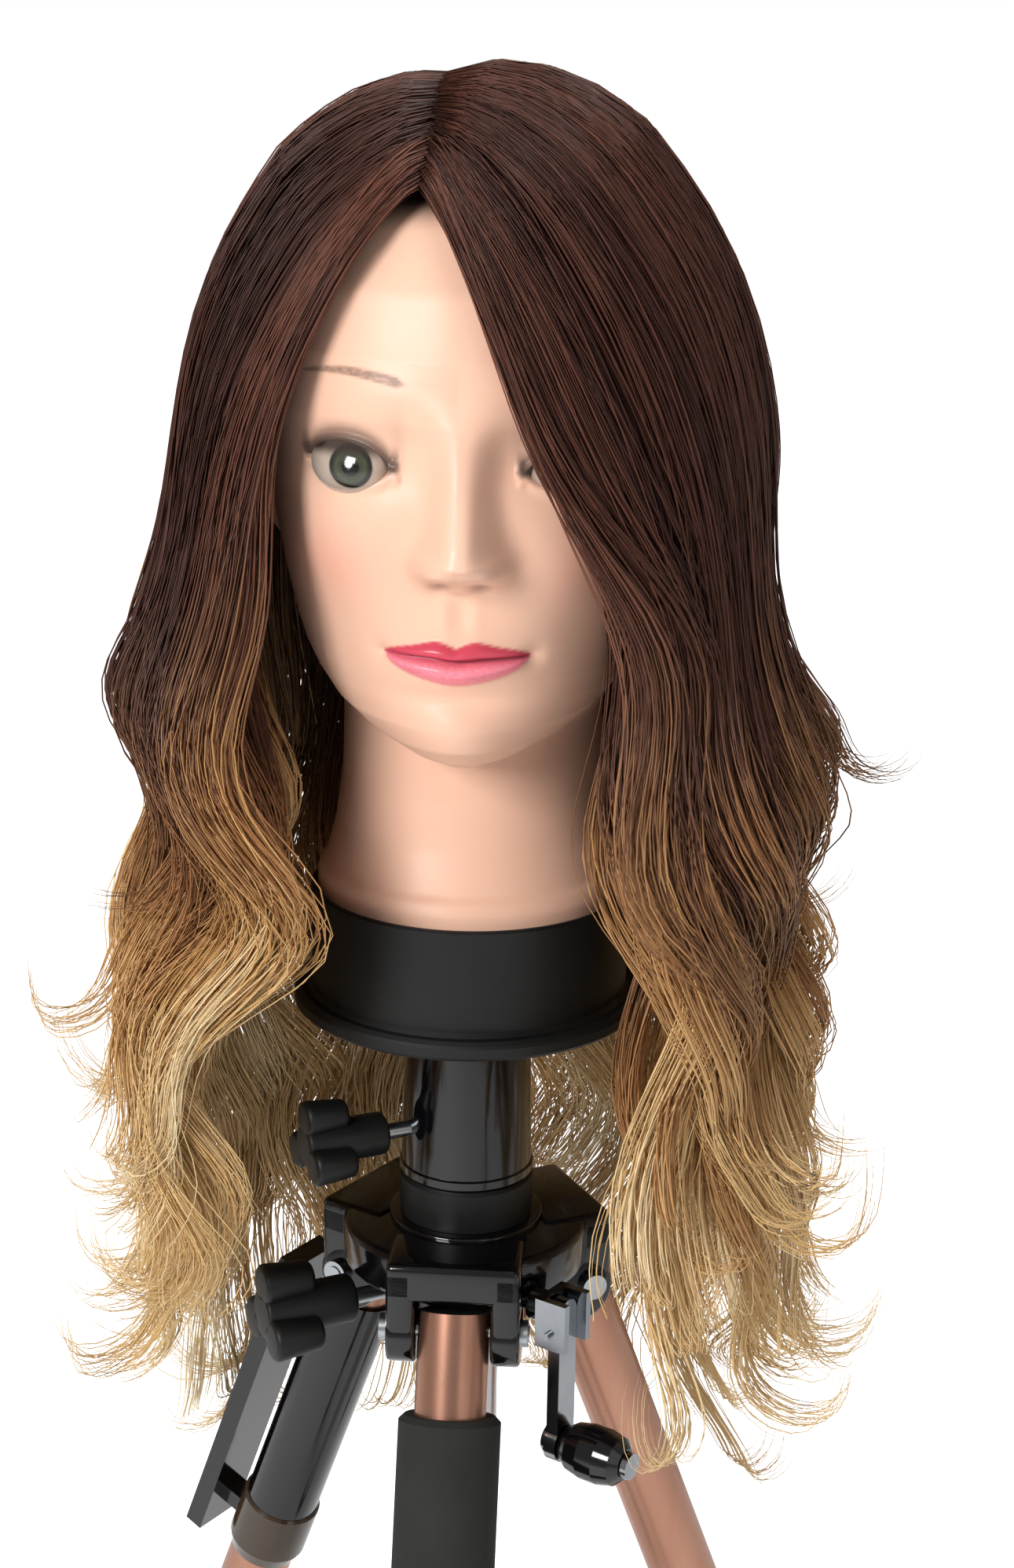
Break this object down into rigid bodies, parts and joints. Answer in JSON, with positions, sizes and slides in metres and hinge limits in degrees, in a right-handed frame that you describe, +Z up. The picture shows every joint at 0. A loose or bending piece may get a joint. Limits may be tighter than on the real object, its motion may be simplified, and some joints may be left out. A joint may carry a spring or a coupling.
{
  "type": "mannequin training head",
  "caption": "Hairdressing training head with long wavy hair, held in a round neck cup on a crank-up tripod with folding telescopic legs.",
  "frame": {"origin": "on the floor, in the middle of the tripod's footprint", "axes": "+Z up the stand, -Y the way the face looks, +X to the viewer's right"},
  "size_m": [0.396, 0.3554, 0.89],
  "materials": {
    "skin": "satin",
    "hard_core": "matte",
    "hair": "satin",
    "satin_black": "satin",
    "gloss_black": "gloss",
    "steel": "satin",
    "steel_tube": "polished",
    "rack_steel": "satin",
    "brass": "satin",
    "chrome": "polished",
    "rose_alu": "anodised satin",
    "foam": "matte",
    "smoke": "gloss",
    "rubber": "matte"
  },
  "bodies": {
    "hub": {"hub_body": "gloss_black", "column_ring": "satin_black", "leg_bolts": "steel"},
    "column": {"column_tube": "steel_tube", "column_rack": "rack_steel", "column_end_cap": "satin_black", "weight_hook": "steel"},
    "head": {"head_shell": "skin", "neck_plug": "hard_core", "hair_crown": "hair", "hair_left_drape": "hair", "hair_back_drape": "hair", "hair_right_drape": "hair", "holder_cup": "satin_black", "cup_screws": "steel", "adaptor_sleeve": "gloss_black"},
    "sleeve_clamp": {"sleeve_knob": "satin_black", "sleeve_knob_screw": "steel"},
    "column_clamp": {"lock_knob": "satin_black", "lock_screw": "steel"},
    "crank": {"crank_shaft": "steel", "pinion": "brass", "crank_clevis": "chrome", "clevis_pin": "steel", "crank_arm": "chrome", "grip_pin": "chrome"},
    "grip": {"crank_grip": "gloss_black"},
    "front_leg": {"front_leg_upper_tube": "rose_alu", "front_leg_top_plug": "satin_black", "front_leg_lock_collar": "satin_black", "front_leg_lever_pin": "steel", "foam_grip": "foam"},
    "front_lever": {"front_leg_lock_lever": "gloss_black"},
    "front_lower_leg": {"front_leg_lower_tube": "rose_alu", "front_leg_foot": "rubber"},
    "right_leg": {"right_leg_upper_tube": "rose_alu", "right_leg_top_plug": "satin_black", "right_leg_lock_collar": "satin_black", "right_leg_lever_pin": "steel"},
    "right_lever": {"right_leg_lock_lever": "gloss_black"},
    "right_lower_leg": {"right_leg_lower_tube": "rose_alu", "right_leg_foot": "rubber"},
    "left_leg": {"left_leg_upper_tube": "rose_alu", "left_leg_top_plug": "satin_black", "left_leg_lock_collar": "satin_black", "left_leg_lever_pin": "steel", "sheath_sleeve": "gloss_black", "sheath_end_collar": "smoke", "sheath_plate": "gloss_black"},
    "left_lever": {"left_leg_lock_lever": "gloss_black"},
    "left_lower_leg": {"left_leg_lower_tube": "rose_alu", "left_leg_foot": "rubber"}
  },
  "joints": [
    {"name": "column_lift", "type": "slide", "parent": "hub", "child": "column", "axis": [0, 0, 1], "range_m": [0, 0.2]},
    {"name": "head_swivel", "type": "hinge", "parent": "column", "child": "head", "pos_m": [0, 0.052, 0.5], "axis": [0, 0, 1], "continuous": true},
    {"name": "sleeve_knob_turn", "type": "hinge", "parent": "head", "child": "sleeve_clamp", "pos_m": [0, 0.052, 0.505], "axis": [-0.866, -0.5, 0], "continuous": true},
    {"name": "lock_knob_turn", "type": "hinge", "parent": "hub", "child": "column_clamp", "pos_m": [0, 0.052, 0.44], "axis": [-0.866, -0.5, 0], "continuous": true},
    {"name": "crank_turn", "type": "hinge", "parent": "hub", "child": "crank", "pos_m": [-0.0088, 0.03676, 0.449], "axis": [0.866, -0.5, 0], "range_deg": [0, 1910]},
    {"name": "crank_grip_spin", "type": "hinge", "parent": "crank", "child": "grip", "pos_m": [0.05182, 0.00176, 0.396], "axis": [0.866, -0.5, 0], "continuous": true},
    {"name": "front_leg_fold", "type": "hinge", "parent": "hub", "child": "front_leg", "pos_m": [0, 0.01, 0.4385], "axis": [1, 0, 0], "range_deg": [0, 21]},
    {"name": "front_leg_extend", "type": "slide", "parent": "front_leg", "child": "front_lower_leg", "axis": [0, -0.3584, -0.9336], "range_m": [0, 0.18]},
    {"name": "front_lever_flip", "type": "hinge", "parent": "front_leg", "child": "front_lever", "pos_m": [0, -0.12554, 0.14455], "axis": [1, 0, 0], "range_deg": [0, 110]},
    {"name": "right_leg_fold", "type": "hinge", "parent": "hub", "child": "right_leg", "pos_m": [0.03637, 0.073, 0.4385], "axis": [-0.5, 0.866, 0], "range_deg": [0, 21]},
    {"name": "right_leg_extend", "type": "slide", "parent": "right_leg", "child": "right_lower_leg", "axis": [0.3104, 0.1792, -0.9336], "range_m": [0, 0.18]},
    {"name": "right_lever_flip", "type": "hinge", "parent": "right_leg", "child": "right_lever", "pos_m": [0.15376, 0.14077, 0.14455], "axis": [-0.5, 0.866, 0], "range_deg": [0, 110]},
    {"name": "left_leg_fold", "type": "hinge", "parent": "hub", "child": "left_leg", "pos_m": [-0.03637, 0.073, 0.4385], "axis": [-0.5, -0.866, 0], "range_deg": [0, 21]},
    {"name": "left_leg_extend", "type": "slide", "parent": "left_leg", "child": "left_lower_leg", "axis": [-0.3104, 0.1792, -0.9336], "range_m": [0, 0.18]},
    {"name": "left_lever_flip", "type": "hinge", "parent": "left_leg", "child": "left_lever", "pos_m": [-0.15376, 0.14077, 0.14455], "axis": [-0.5, -0.866, 0], "range_deg": [0, 110]}
  ],
  "couplings": [
    {"joint": "crank_turn", "follows": "column_lift", "rad_per_m": 166.67}
  ]
}
